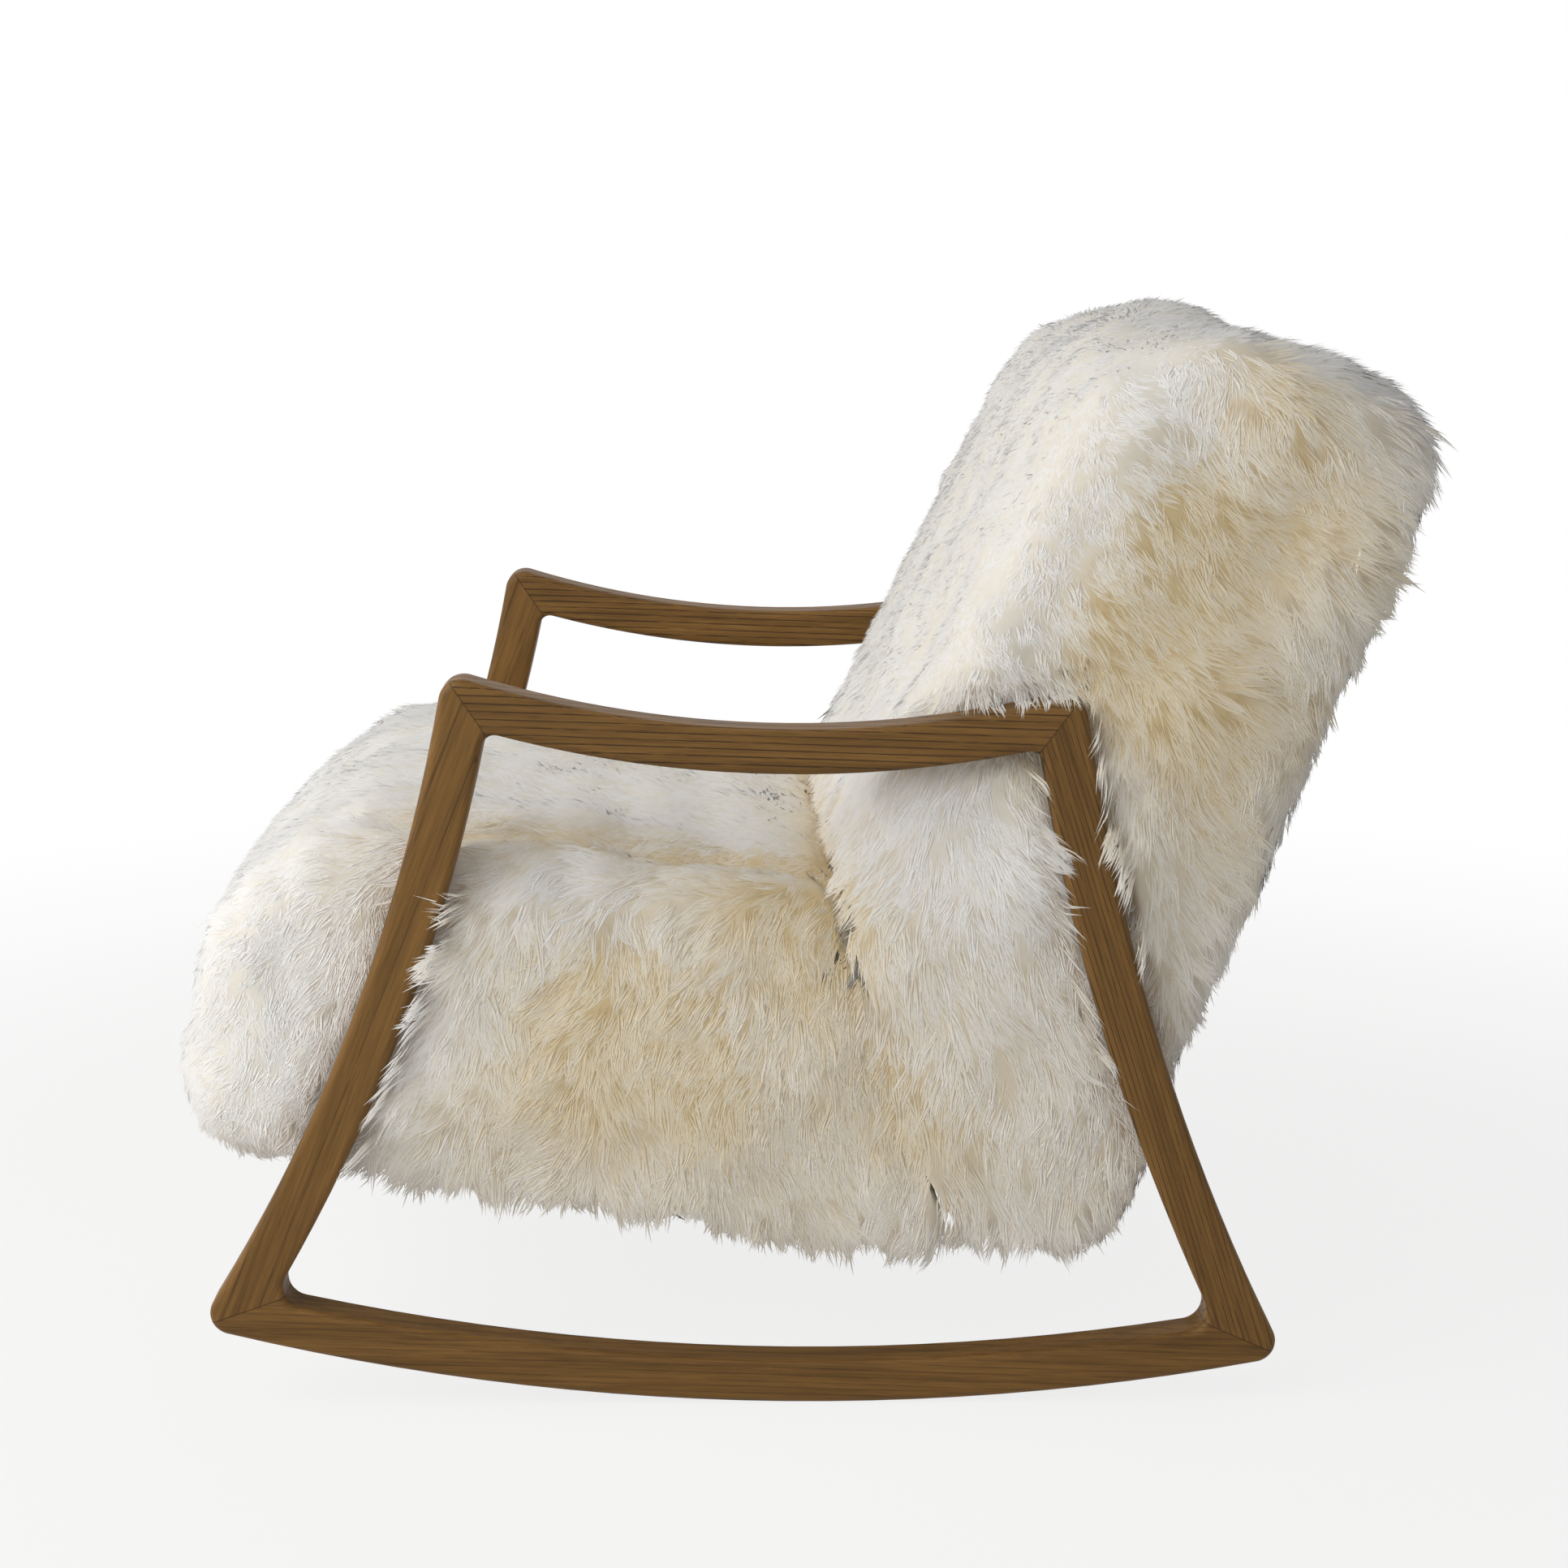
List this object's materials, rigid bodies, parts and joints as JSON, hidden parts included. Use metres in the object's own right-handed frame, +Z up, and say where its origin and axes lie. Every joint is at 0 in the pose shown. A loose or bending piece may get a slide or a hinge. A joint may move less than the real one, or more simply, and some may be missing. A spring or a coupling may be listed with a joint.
{
  "type": "rocking armchair",
  "caption": "Rocking armchair with a deep seat and back covered in long-wool sheepskin, carried between curved wooden side frames whose lower members are the rockers.",
  "frame": {"origin": "middle of the chair's box, on the floor that the rockers touch", "axes": "+Z up, the sitter faces -Y, the sitter's left is +X"},
  "size_m": [0.688, 1.0495, 0.875],
  "materials": {
    "stained_oak": "satin oiled, open grain",
    "sheepskin": "long wool pile on the hide",
    "seating_foam": "open cell, matt",
    "elastic_webbing": "woven, matt",
    "dust_cloth": "non-woven, matt",
    "beech_inner_frame": "planed, unfinished",
    "beech_dowel": "turned, unfinished",
    "zinc_plated_steel": "zinc plated",
    "brass_insert": "turned"
  },
  "bodies": {
    "root": {"armrest_left": "stained_oak", "armrest_right": "stained_oak", "back_dust_cover": "dust_cloth", "back_foam": "seating_foam", "back_front_sheepskin": "sheepskin", "back_lower_rail": "beech_inner_frame", "back_lumbar_rail": "beech_inner_frame", "back_post_left": "beech_inner_frame", "back_post_right": "beech_inner_frame", "back_rear_sheepskin": "sheepskin", "back_side_sheepskin_left": "sheepskin", "back_side_sheepskin_right": "sheepskin", "back_top_rail": "beech_inner_frame", "back_webbing": "elastic_webbing", "bolt_washers": "zinc_plated_steel", "dust_cover": "dust_cloth", "front_leg_left": "stained_oak", "front_leg_right": "stained_oak", "mitre_dowels_left": "beech_dowel", "mitre_dowels_right": "beech_dowel", "mounting_bolts": "zinc_plated_steel", "mounting_spacers": "beech_inner_frame", "rail_dowels": "beech_dowel", "rear_leg_left": "stained_oak", "rear_leg_right": "stained_oak", "rocker_left": "stained_oak", "rocker_right": "stained_oak", "seat_corner_blocks": "beech_inner_frame", "seat_foam": "seating_foam", "seat_front_rail": "beech_inner_frame", "seat_rear_rail": "beech_inner_frame", "seat_sheepskin": "sheepskin", "seat_side_rail_left": "beech_inner_frame", "seat_side_rail_right": "beech_inner_frame", "seat_side_sheepskin_left": "sheepskin", "seat_side_sheepskin_right": "sheepskin", "seat_webbing": "elastic_webbing", "threaded_inserts": "brass_insert"}
  },
  "joints": []
}
